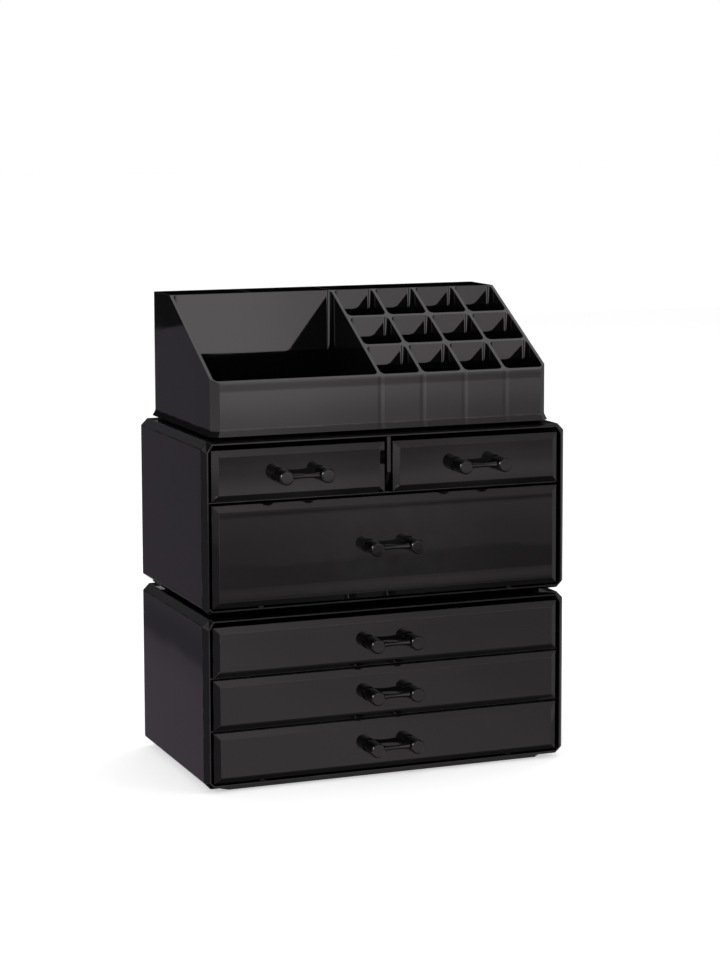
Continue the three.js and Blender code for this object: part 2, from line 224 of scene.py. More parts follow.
class EdgeWear(Effect):
    """Rubbed patches along the rounded edges, where handling has dulled the gloss."""

    title = "Edge wear"
    inputs = ("Amount",)
    outputs = ("Mask",)

    def draw(self, graph: Graph, taken: dict[str, Socket]) -> tuple[Socket, ...]:
        """Breaks up the edge attribute with noise.

        Args:
            graph: the group's tree.
            taken: the group's inputs by name.

        Returns:
            The mask alone.
        """
        edge = graph.add("Attribute", attribute_name=EDGE_ATTRIBUTE).outputs["Fac"]
        patches = graph.ease(graph.noise(scale=120.0, detail=4.0), low=0.42, high=0.66)
        worn = graph.math("MULTIPLY", edge, patches)
        return (graph.math("MULTIPLY", worn, taken["Amount"], clamp=True),)


class DustAndScuffs(Effect):
    """Fine dust on faces that look up, and short wiping marks that run across."""

    title = "Dust and scuffs"
    inputs = ("Dust", "Scuffs")
    outputs = ("Dust", "Scuffs")

    def draw(self, graph: Graph, taken: dict[str, Socket]) -> tuple[Socket, ...]:
        """Draws dust from the face's tilt, and scuffs from drawn-out noise.

        Args:
            graph: the group's tree.
            taken: the group's inputs by name.

        Returns:
            The masks of the dust and of the scuffs.
        """
        normal = graph.add("NewGeometry").outputs["Normal"]
        up = graph.add("SeparateXYZ", {"Vector": normal}).outputs["Z"]
        specks = graph.ease(graph.noise(scale=420.0, detail=5.0), low=0.5, high=0.75)
        settled = graph.math("MULTIPLY", graph.ease(up, low=0.5, high=1.0), specks)
        flat = graph.add("Mapping", {"Vector": graph.place, "Scale": (1.0, 1.0, 22.0)}).outputs[0]
        streaks = graph.ease(graph.noise(scale=60.0, detail=5.0, place=flat), low=0.6, high=0.72)
        wiped = graph.ease(graph.noise(scale=21.0, detail=2.0), low=0.5, high=0.7)
        scuffs = graph.math("MULTIPLY", graph.math("MULTIPLY", streaks, wiped), taken["Scuffs"])
        return graph.math("MULTIPLY", settled, taken["Dust"]), scuffs


# Finishes

# Painted sheen: a paler colour laid round drawer handles, standing in for light on the faces
PAINTED_SHEEN = (0.0125, 0.012, 0.0128)
RUBBED_PLASTIC = (0.035, 0.034, 0.036)
DUST = (0.16, 0.155, 0.15)
WEAR_ROUGHNESS = 0.18
SCUFF_ROUGHNESS = 0.15
DUST_ROUGHNESS = 0.4
WHITE = (1.0, 1.0, 1.0)


@dataclass(frozen=True)
class Finish:
    """A finish that is drawn as one material.

    Args:
        title: the material's name.
    """

    title: str

    def material(self) -> bpy.types.Material:
        """Builds the material on its first use.

        Returns:
            The finish's material.
        """
        made = bpy.data.materials.get(self.title)
        if made:
            return made
        made = bpy.data.materials.new(self.title)
        made.use_nodes = True
        made.node_tree.nodes.clear()
        graph = Graph(made.node_tree)
        graph.add("OutputMaterial", {"Surface": self.shader(graph)})
        return made

    def shader(self, graph: Graph) -> Socket:
        """Draws the shader in the material's tree and returns its socket."""
        raise NotImplementedError


@dataclass(frozen=True)
class GlossPlastic(Finish):
    """Black polished plastic. Colours are linear and lengths in metres.

    Args:
        pale: the colour where the plastic is a little lighter.
        gloss: lowest roughness.
        haze: highest roughness.
        wave: height of the slow waves.
        peel: height of the orange peel.
        wear, dust, scuffs: strengths of the edge wear, of the dust on faces that look up, of wiping marks.
        foot: bottom and top of a foot rim whose face leans in, or None.
        lean: slope of that face.
    """

    colour: Triple = (0.0016, 0.0015, 0.0017)
    pale: Triple = (0.0032, 0.0029, 0.0033)
    gloss: float = 0.025
    haze: float = 0.055
    ior: float = 1.42
    wave: float = 3e-4
    peel: float = 1.2e-6
    wear: float = 0.5
    dust: float = 0.12
    scuffs: float = 0.25
    foot: Pair | None = None
    lean: float = 0.8

    def shader(self, graph: Graph) -> Socket:
        """Draws skin, wear, dust and a painted sheen into one glossy shader.

        Args:
            graph: the material's tree.

        Returns:
            The shader's socket.
        """
        skin = MouldedSkin().place(graph, {"Peel Height": self.peel, "Wave Height": self.wave})
        wear = EdgeWear().place(graph, {"Amount": self.wear})["Mask"]
        marks = DustAndScuffs().place(graph, {"Dust": self.dust, "Scuffs": self.scuffs})
        colour = graph.blend(skin["Shade"], self.colour, self.pale)
        # painted sheen: the colour is lighter round a drawer's handle, standing in for light on the face
        colour = graph.blend(self.painted_sheen(graph), colour, PAINTED_SHEEN)
        colour = graph.blend(wear, colour, RUBBED_PLASTIC)
        colour = graph.blend(marks["Dust"], colour, DUST)
        rough = graph.math("MULTIPLY_ADD", skin["Gloss"], self.haze - self.gloss, self.gloss)
        rough = graph.math("MULTIPLY_ADD", wear, WEAR_ROUGHNESS, rough)
        rough = graph.math("MULTIPLY_ADD", marks["Scuffs"], SCUFF_ROUGHNESS, rough)
        rough = graph.math("MULTIPLY_ADD", marks["Dust"], DUST_ROUGHNESS, rough, clamp=True)
        height = graph.math("ADD", skin["Height"], self.relief(graph))
        bump = graph.add("Bump", {"Height": height, "Distance": 1.0, "Strength": 1.0})
        feeds = {"Base Color": colour, "Roughness": rough, "IOR": self.ior, "Normal": bump.outputs["Normal"]}
        return graph.add("BsdfPrincipled", feeds).outputs["BSDF"]

    def relief(self, graph: Graph) -> Feed:
        """Draws the extra height over the surface that makes the foot rim lean in.

        Args:
            graph: the material's tree.

        Returns:
            The height's socket, or nought without such a rim.
        """
        if not self.foot:
            return 0.0
        low, high = self.foot
        held = graph.math("MINIMUM", graph.math("MAXIMUM", graph.parts["Z"], low), high)
        return graph.math("MULTIPLY", graph.math("SUBTRACT", held, low), self.lean)

    def painted_sheen(self, graph: Graph) -> Feed:
        """Returns where a sheen is painted into the colour, which is nowhere for plain plastic."""
        return 0.0


@dataclass(frozen=True)
class SunkPlastic(GlossPlastic):
    """Black plastic with shallow sink marks on the outer walls, opposite the walls inside.

    Args:
        pitch: distance between the inner walls.
        offset: where the first inner wall stands.
        half_width, depth: half the width of a sink mark, and its depth.
        wall_y, wall_top: the front wall's outer face, and its top.
        border, sink: the border that sinks under the wall's top, and how far it sinks.
    """

    pitch: float = 28.0 * MM
    offset: float = -2.0 * MM
    half_width: float = 2.6 * MM
    depth: float = 1.6e-4
    wall_y: float = -48.9 * MM
    wall_top: float = 249.1 * MM
    border: float = 6.0 * MM
    sink: float = 1.3e-4

    def relief(self, graph: Graph) -> Feed:
        """Draws one trough opposite each inner wall, and the border that sinks under the wall's top.

        Args:
            graph: the material's tree.

        Returns:
            The height's socket.
        """
        across, ahead, up = (graph.parts[axis] for axis in "XYZ")
        nearest = graph.math("PINGPONG", graph.math("SUBTRACT", across, self.offset), self.pitch / 2)
        trough = graph.ease(nearest, 0.0, self.half_width, -self.depth, 0.0)
        behind_grid = graph.math("GREATER_THAN", across, self.offset - self.pitch / 2)
        border = graph.ease(up, self.wall_top - self.border, self.wall_top, -self.sink, 0.0)
        height = graph.math("MULTIPLY_ADD", trough, behind_grid, border)
        on_wall = graph.math("LESS_THAN", ahead, self.wall_y)
        return graph.math("MULTIPLY_ADD", height, on_wall, super().relief(graph))


@dataclass(frozen=True)
class Dish:
    """How the front face of a drawer has sunk as it cooled, and where a sheen is painted round its handle, in
    metres.

    Args:
        top_sink, top_border: how far the face sinks under its top edge, and over what height.
        bottom_sink, bottom_border: the same over its bottom edge.
        bow, bow_line: curvature from bottom to top, per metre, and the height where the bow is deepest.
        soft, soft_reach: how far the bevel under the face is rounded towards it, and over what height.
        side_fade: where that rounding fades out, measured outwards from the face's side edges.
        bevel_depth: how far behind the face the bevel reaches.
        face_slack: how far behind the face a point still counts as on it.
        handle_offset: height of the handle above the middle of the front.
        reach, sheen_strength: how far the painted sheen reaches across and up from the handle, and its
            strength.
    """

    top_sink: float = 0.05 * MM
    bottom_sink: float = 0.03 * MM
    top_border: float = 4.5 * MM
    bottom_border: float = 9.0 * MM
    bow: float = 0.0
    bow_line: float = 0.0
    soft: float = 0.47 * MM
    soft_reach: float = 2.6 * MM
    side_fade: Pair = (-1.0 * MM, 3.0 * MM)
    bevel_depth: float = 2.5 * MM
    face_slack: float = 0.05 * MM
    handle_offset: float = -1.1 * MM
    reach: Pair = (60.0 * MM, 30.0 * MM)
    sheen_strength: float = 0.2


@dataclass(frozen=True, kw_only=True)
class DishedPlastic(GlossPlastic):
    """Black plastic of a drawer, whose front face has sunk a little.

    Args:
        low, high: the face's lower left and upper right corner.
        dish: how the face has sunk, and where a sheen is painted on it.
    """

    colour: Triple = (0.0017, 0.0016, 0.0016)
    pale: Triple = (0.0034, 0.0031, 0.0032)
    low: Vector
    high: Vector
    dish: Dish

    def relief(self, graph: Graph) -> Feed:
        """Draws the sunk borders, the bow and the soft lower bevel.

        Args:
            graph: the material's tree.

        Returns:
            The height's socket.
        """
        across, ahead, up = (graph.parts[axis] for axis in "XYZ")
        dish, bottom, top = self.dish, self.low.z, self.high.z
        under_top = graph.ease(up, top - dish.top_border, top, -dish.top_sink, 0.0)
        over_bottom = graph.ease(up, bottom, bottom + dish.bottom_border, 0.0, -dish.bottom_sink)
        height = graph.math("ADD", under_top, over_bottom)
        if dish.bow:
            away = graph.math("SUBTRACT", up, bottom + dish.bow_line)
            height = graph.math("MULTIPLY_ADD", graph.math("MULTIPLY", away, away), dish.bow / 2, height)
        height = graph.math("MULTIPLY", height, graph.math("LESS_THAN", ahead, self.low.y + dish.face_slack))
        if dish.soft:
            below = graph.math("MINIMUM", up, bottom)
            reach = dish.soft_reach
            rounded = graph.ease(below, bottom - reach, bottom + reach, dish.soft, -dish.soft)
            on_panel = graph.math("LESS_THAN", ahead, self.low.y + dish.bevel_depth)
            centre, half = (self.low.x + self.high.x) / 2, (self.high.x - self.low.x) / 2
            aside = graph.math("ABSOLUTE", graph.math("SUBTRACT", across, centre))
            between = graph.ease(aside, *(half + edge for edge in dish.side_fade), 1.0, 0.0)
            height = graph.math("MULTIPLY_ADD", rounded, graph.math("MULTIPLY", on_panel, between), height)
        return height

    def painted_sheen(self, graph: Graph) -> Feed:
        """Draws a painted sheen: a pale, uneven patch round the handle where the face looks lit.

        Args:
            graph: the material's tree.

        Returns:
            The mask's socket.
        """
        middle = (self.low + self.high) / 2
        across, up = self.dish.reach
        shift = (-middle.x / across, 0.0, -(middle.z + self.dish.handle_offset) / up)
        feeds = {"Vector": graph.place, "Scale": (1.0 / across, 0.0, 1.0 / up), "Location": shift}
        centred = graph.add("Mapping", feeds).outputs[0]
        away = graph.add("VectorMath", {0: centred}, operation="LENGTH").outputs["Value"]
        # painted sheen, strongest at the handle and fading out over its reach
        patch = graph.ease(away, 0.0, 1.0, self.dish.sheen_strength, 0.0)
        uneven = graph.ease(graph.noise(scale=90.0, detail=4.0), low=0.2, high=0.8, start=0.6, end=1.3)
        return graph.math("MULTIPLY", patch, uneven, clamp=True)


@dataclass(frozen=True)
class ZincSteel(Finish):
    """Zinc-plated steel of a small screw. Colours are linear.

    Args:
        dull: the plating where it has dulled.
        edge: the plating on rubbed edges.
        gloss, spread: lowest roughness, and how much rougher the dull plating is.
        grain: height of the spangled grain, in metres.
    """

    colour: Triple = (0.56, 0.57, 0.58)
    dull: Triple = (0.34, 0.34, 0.33)
    edge: Triple = (0.75, 0.75, 0.76)
    wear: float = 0.8
    gloss: float = 0.24
    spread: float = 0.16
    grain: float = 2e-6

    def shader(self, graph: Graph) -> Socket:
        """Draws spangled plating with brighter edges.

        Args:
            graph: the material's tree.

        Returns:
            The shader's socket.
        """
        patches = graph.ease(graph.noise(scale=700.0, detail=3.0), low=0.35, high=0.65)
        wear = EdgeWear().place(graph, {"Amount": self.wear})["Mask"]
        colour = graph.blend(wear, graph.blend(patches, self.colour, self.dull), self.edge)
        rough = graph.math("MULTIPLY_ADD", patches, self.spread, self.gloss)
        height = graph.math("MULTIPLY", graph.noise(scale=2500.0), self.grain)
        bump = graph.add("Bump", {"Height": height, "Distance": 1.0})
        feeds = {"Base Color": colour, "Metallic": 1.0, "Roughness": rough, "Normal": bump.outputs["Normal"]}
        return graph.add("BsdfPrincipled", feeds).outputs["BSDF"]


@dataclass(frozen=True)
class PaleFloor(Finish):
    """Pale floor that fades into the white background and keeps the object's shadow.

    Args:
        lift: light added where a camera, glossy or transmission ray looks at it.
    """

    colour: Triple = (0.9, 0.9, 0.9)
    roughness: float = 0.7
    lift: float = 0.5

    def shader(self, graph: Graph) -> Socket:
        """Draws the floor's shader.

        Args:
            graph: the material's tree.

        Returns:
            The shader's socket.
        """
        strength = graph.math("MULTIPLY", looked_at(graph), self.lift)
        feeds = {"Base Color": self.colour, "Roughness": self.roughness, "Emission Color": WHITE}
        return graph.add("BsdfPrincipled", {**feeds, "Emission Strength": strength}).outputs["BSDF"]


@dataclass(frozen=True)
class CardFinish(Finish):
    """A studio card that only reflections see. Places are in metres.

    Args:
        stops: brightness at places along the axis.
        fade: share of the brightness at places from left to right.
        fade_from: places along the axis between which the fade sets in.
        steep: share of the brightness that is left where the card is seen from straight above.
        steep_from: facings between which that share sets in.
    """

    colour: Triple
    stops: Stops
    axis: str = "Z"
    fade: Stops = ()
    fade_from: Pair | None = None
    steep: float = 1.0
    steep_from: Pair = (0.25, 0.65)

    def shader(self, graph: Graph) -> Socket:
        """Draws the card's glow.

        Args:
            graph: the material's tree.

        Returns:
            The shader's socket.
        """
        along = graph.parts[self.axis]
        strength = self.steps(graph, along, self.stops)
        if self.fade:
            share = self.steps(graph, graph.parts["X"], self.fade)
            if self.fade_from:
                lost = graph.math("SUBTRACT", share, 1.0)
                share = graph.math("MULTIPLY_ADD", lost, graph.ease(along, *self.fade_from), 1.0)
            strength = graph.math("MULTIPLY", strength, share)
        if self.steep < 1.0:
            facing = graph.add("LayerWeight", {"Blend": 0.5}).outputs["Facing"]
            strength = graph.math("MULTIPLY", strength, graph.ease(facing, *self.steep_from, self.steep, 1.0))
        return graph.add("Emission", {"Color": self.colour, "Strength": strength}).outputs[0]

    def steps(self, graph: Graph, along: Feed, stops: Stops) -> Feed:
        """Draws a chain of smooth steps.

        Args:
            graph: the material's tree.
            along: the coordinate that the value changes along.
            stops: pairs of coordinate and value, in rising order.

        Returns:
            The value's socket, or a number where it never changes.
        """
        value: Feed = stops[0][1]
        for (low, before), (high, after) in zip(stops, stops[1:]):
            value = graph.math("ADD", value, graph.ease(along, low, high, 0.0, after - before))
        return value


def looked_at(graph: Graph) -> Socket:
    """Tells whether a camera, glossy or transmission ray looks at a surface.

    Args:
        graph: the tree of the material or world.

    Returns:
        A socket that is 1 for such a ray and 0 for others.
    """
    path = graph.add("LightPath").outputs
    direct = graph.math("MAXIMUM", path["Is Camera Ray"], path["Is Glossy Ray"])
    return graph.math("MAXIMUM", direct, path["Is Transmission Ray"])


CASE_HEIGHT = 107.5 * MM
CASE_PLASTIC = GlossPlastic("Case plastic", dust=0.015)
UPPER_CASE_PLASTIC = GlossPlastic(
    "Upper case plastic", dust=0.015, foot=(CASE_HEIGHT, CASE_HEIGHT + 2.35 * MM)
)
HANDLE_PLASTIC = GlossPlastic(
    "Handle plastic", gloss=0.02, haze=0.04, wave=0.0, wear=0.3, dust=0.08, scuffs=0.1
)
TRAY_PLASTIC = SunkPlastic(
    "Tray plastic",
    colour=(0.0018, 0.0017, 0.0017),
    pale=(0.0036, 0.0033, 0.0034),
    foot=(2 * CASE_HEIGHT, 2 * CASE_HEIGHT + 1.65 * MM),
)
SCREW_STEEL = ZincSteel("Screw steel")

SHALLOW_DISH = Dish()
DEEP_DISH = Dish(
    top_sink=0.11 * MM, bottom_sink=0.25 * MM, soft=0.0,
    handle_offset=0.9 * MM, reach=(100.0 * MM, 60.0 * MM), sheen_strength=0.8,
)
SMALL_DISH = Dish(
    top_sink=0.0, bottom_sink=0.0, bow=3.4, bow_line=5.5 * MM, soft=0.25 * MM,
    reach=(45.0 * MM, 25.0 * MM), sheen_strength=0.7,
)


# Mesh work, with turns in degrees, an area in square metres and nearness in millimetres

UPWARDS = Vector((0.0, 0.0, 1.0))
FORWARDS = Vector((0.0, -1.0, 0.0))
RIGHTWARDS = Vector((1.0, 0.0, 0.0))
CREASE = 35.0
CORNER_TURN = 20.0
FOLD_TURN = 15.0
FOLD_AREA = 1e-4
NEAR = 0.1


def corners(node: str) -> tuple[Vector, Vector]:
    """Returns the lowest and the highest corner of a CAD node, in millimetres."""
    low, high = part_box(node)
    return low / MM, high / MM


def midpoint(edge: Edge) -> Vector:
    """Returns the middle of an edge, in millimetres."""
    return (edge.verts[0].co + edge.verts[1].co) / 2 / MM


def everywhere(middle: Vector) -> bool:
    """Chooses an edge wherever its middle is."""
    return True


def round_edges(shape: Shape, edges: Iterable[Edge], radius: float) -> None:
    """Rounds edges and marks the new faces for the edge wear.

    Args:
        shape: the mesh that holds the edges.
        edges: the edges to round.
        radius: how far the rounding reaches from an edge, in millimetres.
    """
    marks = shape.loops.layers.float.get(EDGE_ATTRIBUTE) or shape.loops.layers.float.new(EDGE_ATTRIBUTE)
    made = bmesh.ops.bevel(
        shape,
        geom=list(edges), affect="EDGES", offset=radius * MM, offset_type="OFFSET",
        segments=3, profile=0.5, material=-1, clamp_overlap=True, loop_slide=True,
    )
    for face in made["faces"]:
        for corner in face.loops:
            corner[marks] = 1.0


def turns_past(edge: Edge, degrees: float) -> bool:
    """Tells whether an edge turns by more than an angle."""
    return edge.calc_face_angle(0.0) > math.radians(degrees)


def is_fold(edge: Edge) -> bool:
    """Tells whether two large faces meet at an edge that nothing rounds."""
    return turns_past(edge, FOLD_TURN) and all(face.calc_area() > FOLD_AREA for face in edge.link_faces)


def chosen(shape: Shape, degrees: float, choice: Choice, convex: bool = True) -> list[Edge]:
    """Finds the outward or the inward edges that turn by more than an angle and are chosen."""
    sharp = (edge for edge in shape.edges if edge.is_convex is convex and turns_past(edge, degrees))
    return [edge for edge in sharp if choice(midpoint(edge))]


def linked(made: Piece) -> Piece:
    """Links an object to the scene and returns it."""
    bpy.context.scene.collection.objects.link(made)
    return made


def meshed(shape: Shape, name: str) -> Piece:
    """Makes an object of a bmesh, which is freed.

    Args:
        shape: the mesh.
        name: the object's name.

    Returns:
        The object, at the origin.
    """
    mesh = bpy.data.meshes.new(name)
    shape.to_mesh(mesh)
    shape.free()
    return linked(bpy.data.objects.new(name, mesh))


def finished(shape: Shape, name: str, crease: float = CREASE) -> Piece:
    """Turns a bmesh into a smooth-shaded object whose large faces stay flat.

    Args:
        shape: the mesh, which is freed.
        name: the object's name.
        crease: turn in degrees above which an edge stays sharp.

    Returns:
        The object, at the origin.
    """
    for face in shape.faces:
        face.smooth = True
    for edge in shape.edges:
        edge.smooth = edge.calc_face_angle(0.0) < math.radians(crease) and not is_fold(edge)
    made = meshed(shape, name)
    flat = made.modifiers.new("Flat faces", "WEIGHTED_NORMAL")
    flat.keep_sharp = True
    flat.weight = 100
    return made


def attach(piece: Piece, body: str, finish: Finish, node: str) -> None:
    """Dresses a piece, lets it ride on its body, and puts it in place of its CAD node.

    Args:
        piece: the piece.
        body: the body that it rides on.
        finish: its finish.
        node: the CAD node that it stands for.
    """
    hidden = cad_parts[node]
    hidden.data.materials.clear()
    for dressed in (piece, hidden):
        dressed.data.materials.append(finish.material())
    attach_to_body(piece, body)
    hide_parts(node)
    log.info("%s: %d faces", piece.name, len(piece.data.polygons))


def turned(shape: Shape, profile: list[Pair], foot: Vector, turns: int, axis: Vector = FORWARDS) -> None:
    """Turns a profile about an axis that runs away from a foot. Lengths are in millimetres.

    Args:
        shape: the mesh that it is added to.
        profile: pairs of radius and distance from the foot.
        foot: the foot of the axis.
        turns: facets round the axis.
        axis: the direction in which the axis runs.
    """
    before = {*shape.verts, *shape.faces}
    verts = [shape.verts.new((foot + UPWARDS * radius + axis * along) * MM) for radius, along in profile]
    edges = [shape.edges.new(pair) for pair in zip(verts, verts[1:])]
    bmesh.ops.spin(
        shape,
        geom=verts + edges, cent=foot * MM, axis=axis,
        angle=2 * math.pi, steps=turns, use_merge=True,
    )
    made = [vert for vert in shape.verts if vert not in before]
    bmesh.ops.remove_doubles(shape, verts=made, dist=0.001 * MM)
    bmesh.ops.recalc_face_normals(shape, faces=[face for face in shape.faces if face not in before])


@dataclass
class Moulding:
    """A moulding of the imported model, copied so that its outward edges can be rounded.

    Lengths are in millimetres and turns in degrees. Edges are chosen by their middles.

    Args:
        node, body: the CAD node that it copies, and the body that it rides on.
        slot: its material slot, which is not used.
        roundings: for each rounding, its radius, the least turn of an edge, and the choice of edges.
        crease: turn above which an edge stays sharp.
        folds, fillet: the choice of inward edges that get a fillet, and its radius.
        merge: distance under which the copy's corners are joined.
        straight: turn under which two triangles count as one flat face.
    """

    node: str
    body: str
    slot: Slot
    finish: Finish
    roundings: Roundings
    crease: float = CREASE
    folds: Choice | None = None
    fillet: float = 0.5
    merge: float = 0.005
    straight: float = 0.4

    def shape(self) -> Shape:
        """Copies the node's triangles and joins those that lie in one plane.

        Returns:
            The copy, with one face for each flat side.
        """
        copy = bmesh.new()
        copy.from_mesh(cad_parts[self.node].data)
        bmesh.ops.remove_doubles(copy, verts=copy.verts, dist=self.merge * MM)
        flat = math.radians(self.straight)
        bmesh.ops.dissolve_limit(copy, angle_limit=flat, verts=copy.verts, edges=copy.edges)
        return copy

    def build(self) -> None:
        """Rounds the chosen edges and dresses the copy."""
        copy = self.shape()
        if self.folds:
            round_edges(copy, chosen(copy, FOLD_TURN, self.folds, convex=False), self.fillet)
        for radius, turn, choice in self.roundings:
            round_edges(copy, chosen(copy, turn, choice), radius)
        piece = finished(copy, self.node + "_moulding", self.crease)
        attach(piece, self.body, self.finish, self.node)


# Sub-assemblies


@dataclass
class CaseModule:
    """A case with its shelves, and its divider where it has one. Lengths are in millimetres.

    Args:
        body: the body that it rides on, whose name its nodes begin with.
        inner_parts: what the names of the nodes inside its shell end with.
        finish: the finish of its shell.
        groove: depth of the shelf grooves.
        hollow_low: height over its foot from which an edge counts as inside.
        hollow_high: distance under its top from which an edge counts as inside.
        lip_radius: rounding of the thin lip, as the other radii are of what they name.
    """

    body: Body
    inner_parts: tuple[str, ...]
    finish: GlossPlastic = CASE_PLASTIC
    cavity_half_width: float = 116.4
    groove: float = 1.2
    back_wall: float = 2.4
    hollow_low: float = 3.5
    hollow_high: float = 1.1
    lip_radius: float = 0.14
    outer_radius: float = 0.4
    divider_radius: float = 0.35
    shelf_radius: float = 0.85

    def build(self) -> None:
        """Builds the shell and the pieces inside."""
        self.shell().build()
        for part in self.inner_parts:
            radius = self.divider_radius if part == "divider" else self.shelf_radius
            self.moulding(part, CASE_PLASTIC, [(radius, CORNER_TURN, everywhere)]).build()

    def moulding(self, part: str, finish: Finish, roundings: Roundings) -> Moulding:
        """Describes one of its mouldings by the end of its node's name, its finish and its roundings."""
        return Moulding(f"{self.body.value}_{part}", self.body.value, Slot.CASE, finish, roundings)

    def shell(self) -> Moulding:
        """Describes the shell, whose edges round the hollow stay sharp.

        Returns:
            The shell's moulding.
        """
        low, high = corners(self.body.value + "_shell")
        half_width = self.cavity_half_width + self.groove + NEAR
        back = high.y - self.back_wall + NEAR
        bottom, top = low.z + self.hollow_low, high.z - self.hollow_high

        def on_lip(middle: Vector) -> bool:
            """Tells whether an edge lies in the plane of the lip."""
            return middle.y < low.y + NEAR

        def outside(middle: Vector) -> bool:
            """Tells whether an edge lies outside the hollow and behind the lip."""
            hollow = abs(middle.x) < half_width and middle.y < back and bottom < middle.z < top
            return not hollow and not on_lip(middle)

        roundings = [(self.lip_radius, CORNER_TURN, on_lip), (self.outer_radius, CORNER_TURN, outside)]
        return self.moulding("shell", self.finish, roundings)


@dataclass
class Handle:
    """Two round knobs on necks, joined by a waisted bar, in one moulding. Lengths are in millimetres.

    Args:
        drawer: the drawer's name, which is its body's name too.
        knob_rounding: rounding of a knob's rings.
        shoulder: length of the slope from neck to knob.
        chamfer: chamfer of a knob's front edge.
        stand_off: from the drawer's face to the bar's axis.
        bar_end, bar_waist: radius of the bar at the knobs and in the middle.
        turns, steps: facets round a knob and round the bar, and along the bar.
    """

    drawer: str
    knob_radius: float = 4.5
    knob_rounding: float = 0.28
    neck_radius: float = 3.8
    neck_length: float = 2.4
    shoulder: float = 0.6
    chamfer: float = 0.8
    stand_off: float = 8.5
    bar_end: float = 2.9
    bar_waist: float = 1.25
    turns: int = 48
    steps: int = 20

    def build(self) -> None:
        """Builds the handle where its CAD node is."""
        node = self.drawer + "_handle"
        low, high = corners(node)
        shape = bmesh.new()
        self.bar(shape, low, high)
        for x in (low.x + self.knob_radius, high.x - self.knob_radius):
            self.knob(shape, Vector((x, high.y, (low.z + high.z) / 2)), high.y - low.y)
        piece = finished(shape, self.drawer + "_pull")
        attach(piece, self.drawer, HANDLE_PLASTIC, node)

    def knob(self, shape: Shape, foot: Vector, length: float) -> None:
        """Turns one knob and rounds its rings.

        Args:
            shape: the mesh that it is added to.
            foot: the middle of its foot.
            length: its length.
        """
        profile = [
            (0.0, 0.0),
            (self.neck_radius, 0.0),
            (self.neck_radius, self.neck_length - self.shoulder),
            (self.knob_radius, self.neck_length),
            (self.knob_radius, length - self.chamfer),
            (self.knob_radius - self.chamfer, length),
            (0.0, length),
        ]
        before = set(shape.edges)
        turned(shape, profile, foot, self.turns)
        made = (edge for edge in shape.edges if edge not in before and midpoint(edge).y < foot.y - NEAR)
        round_edges(shape, (edge for edge in made if turns_past(edge, CORNER_TURN)), self.knob_rounding)

    def bar(self, shape: Shape, low: Vector, high: Vector) -> None:
        """Turns the bar from knob to knob, drawn in at its middle.

        Args:
            shape: the mesh that it is added to.
            low, high: the handle's lowest and highest corner.
        """
        length = high.x - low.x - 2 * self.knob_radius
        foot = Vector((low.x + self.knob_radius, high.y - self.stand_off, (low.z + high.z) / 2))
        profile = [(0.0, 0.0)]
        for step in range(self.steps + 1):
            share = 2 * step / self.steps - 1
            radius = self.bar_waist + (self.bar_end - self.bar_waist) * share * share
            profile.append((radius, length * step / self.steps))
        profile.append((0.0, length))
        turned(shape, profile, foot, self.turns, RIGHTWARDS)


@dataclass
class Screw:
    """Small screw with a domed head and a cross recess, driven from inside a drawer front.

    Lengths are in millimetres.

    Args:
        side: which knob it holds, left or right.
        dome: shares of the head's radius along its dome, with their distances from its top.
        point, point_share: length of its point, and the tip's radius as a share of the shank's.
        recess_rim: width of the flat round the recess, and its distance from the head's top.
        hub_share: width of the recess's bottom between its arms, as a share of its mouth.
        arm_share, arm_taper: what the arms add to that share, and the power by which they narrow.
        turns: facets round the screw, a multiple of eight.
    """

    drawer: str
    side: str
    radius: float = 1.3
    head_radius: float = 2.8
    head_height: float = 2.0
    dome: Stops = ((0.72, 0.42), (0.93, 1.0), (1.0, 1.5))
    point: float = 1.2
    point_share: float = 0.4
    recess_radius: float = 1.5
    recess_depth: float = 1.0
    recess_rim: float = 0.12
    hub_share: float = 0.3
    arm_share: float = 0.5
    arm_taper: int = 3
    turns: int = 32
    crease: float = 50.0

    def build(self) -> None:
        """Builds the screw where its CAD node is."""
        node = f"{self.drawer}_screw_{self.side}"
        low, high = corners(node)
        tip = high.y - low.y
        profile = [(self.recess_radius, self.recess_rim)]
        profile += [(self.head_radius * share, along) for share, along in self.dome]
        profile += [
            (self.head_radius, self.head_height),
            (self.radius, self.head_height),
            (self.radius, tip - self.point),
            (self.radius * self.point_share, tip),
            (0.0, tip),
        ]
        shape = bmesh.new()
        foot = Vector(((low.x + high.x) / 2, high.y, (low.z + high.z) / 2))
        turned(shape, profile, foot, self.turns)
        self.recess(shape, foot * MM)
        bmesh.ops.recalc_face_normals(shape, faces=shape.faces)
        piece = finished(shape, node + "_turned", self.crease)
        attach(piece, self.drawer, SCREW_STEEL, node)

    def recess(self, shape: Shape, centre: Vector) -> None:
        """Closes the head with a cross recess.

        Args:
            shape: the screw's mesh, open at the head.
            centre: the head's middle, in metres.
        """
        rim = [edge for edge in shape.edges if edge.is_boundary]
        cap = bmesh.ops.holes_fill(shape, edges=rim, sides=0)["faces"]
        bmesh.ops.inset_region(shape, faces=cap, thickness=self.recess_rim * MM)
        sunk = bmesh.ops.extrude_face_region(shape, geom=cap)["geom"]
        bmesh.ops.delete(shape, geom=cap, context="FACES_ONLY")
        eighth = math.pi / 4
        for vert in (item for item in sunk if isinstance(item, bmesh.types.BMVert)):
            away = vert.co - centre
            angle = math.atan2(away.z, away.x)
            in_arm = round(angle / eighth) % 2 == 0
            arm = abs(math.cos(angle * 2)) ** self.arm_taper if in_arm else 0.0
            share = self.hub_share + self.arm_share * arm
            vert.co.x = centre.x + away.x * share
            vert.co.z = centre.z + away.z * share
            vert.co.y -= self.recess_depth * MM


